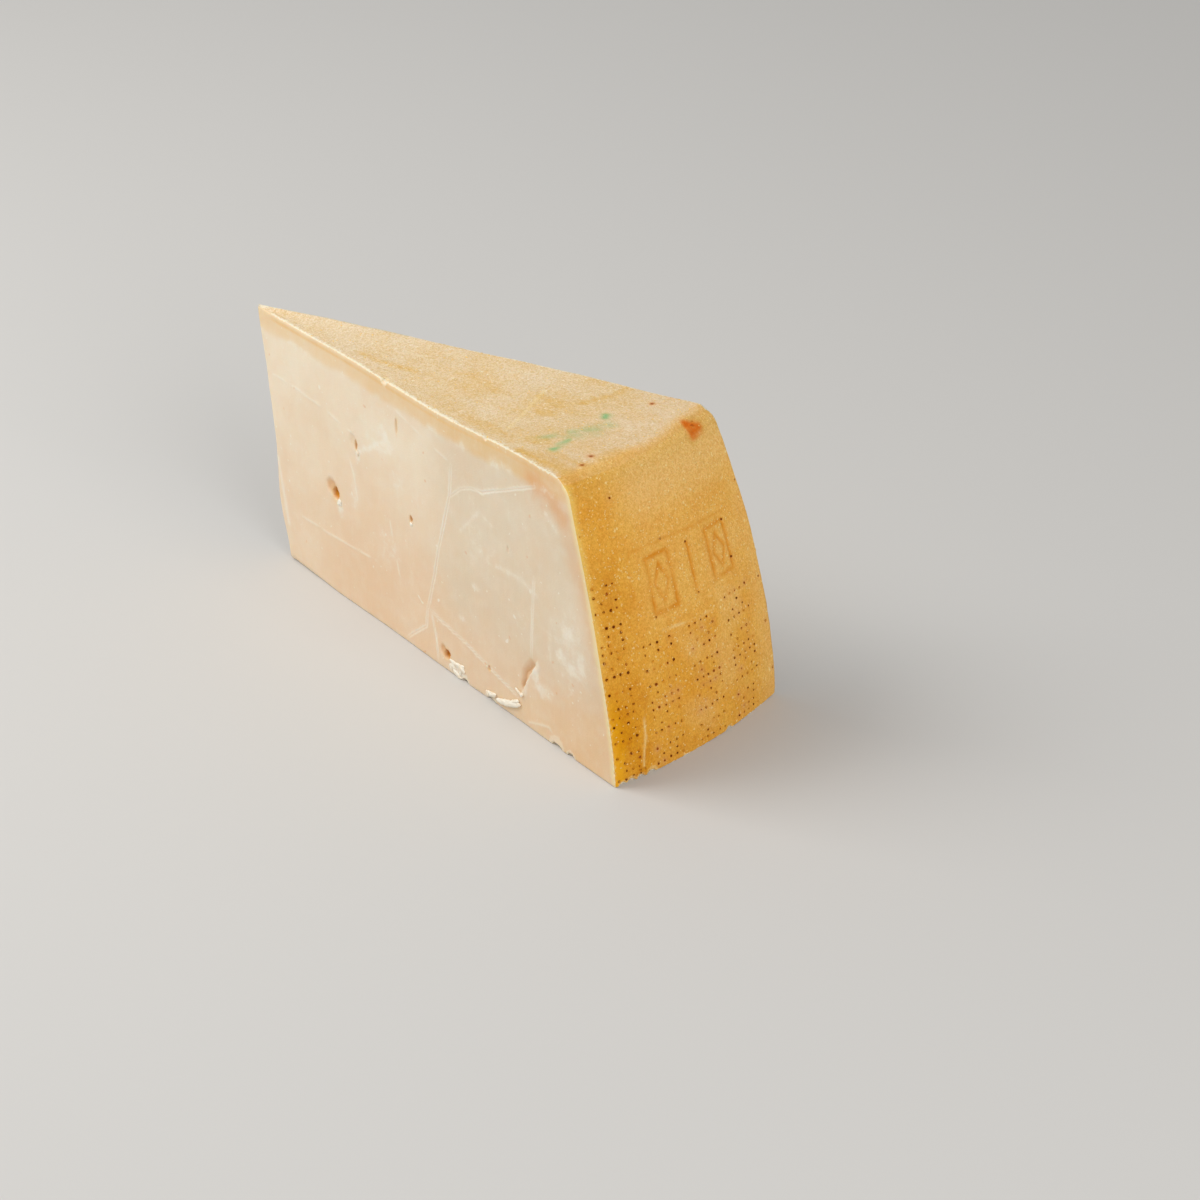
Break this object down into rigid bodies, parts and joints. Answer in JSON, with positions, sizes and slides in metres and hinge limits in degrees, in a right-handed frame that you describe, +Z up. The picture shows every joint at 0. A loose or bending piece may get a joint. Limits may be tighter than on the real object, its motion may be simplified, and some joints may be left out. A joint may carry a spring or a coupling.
{
  "type": "parmesan chunk",
  "caption": "Tall narrow wedge of hard grating cheese with smooth cut sides, a sharp tip and a bulged golden rind, standing on its cut base.",
  "frame": {"origin": "centre of the bounding box in plan, on the flat cut base", "axes": "+X from the tip to the rind, +Y to the far cut face, +Z up"},
  "size_m": [0.2256, 0.0882, 0.1109],
  "materials": {
    "cheese": "matte"
  },
  "bodies": {
    "root": {"cheese_wedge": "cheese"}
  },
  "joints": []
}
